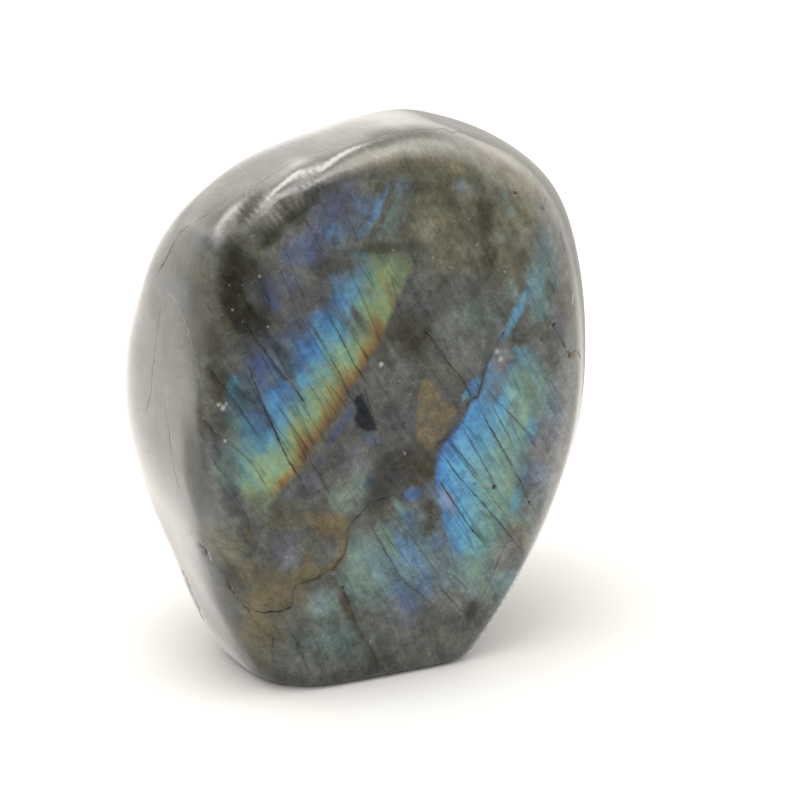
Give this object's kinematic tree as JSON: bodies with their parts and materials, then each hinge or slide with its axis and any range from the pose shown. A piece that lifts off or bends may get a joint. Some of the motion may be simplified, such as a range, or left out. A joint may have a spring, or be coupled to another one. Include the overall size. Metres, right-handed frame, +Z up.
{
  "type": "labradorite freeform",
  "caption": "Polished free-standing labradorite freeform: a flattened rounded stone, wider near the top, with crisp shoulder bevels, a flat polished flash face and a flat ground base.",
  "frame": {"origin": "middle of the bounding box's bottom, at the height of the flat base the stone stands on", "axes": "+Z up, +X to the right along the length as the polished face is looked at, -Y out of the polished flash face, +Y towards the back"},
  "size_m": [0.09, 0.0648, 0.1],
  "materials": {
    "labradorite": "polished grey-green feldspar with dark cleavage lines, brown flecks and bands of blue, teal, green and gold flash on one face"
  },
  "bodies": {
    "root": {"labradorite_stone": "labradorite"}
  },
  "joints": []
}
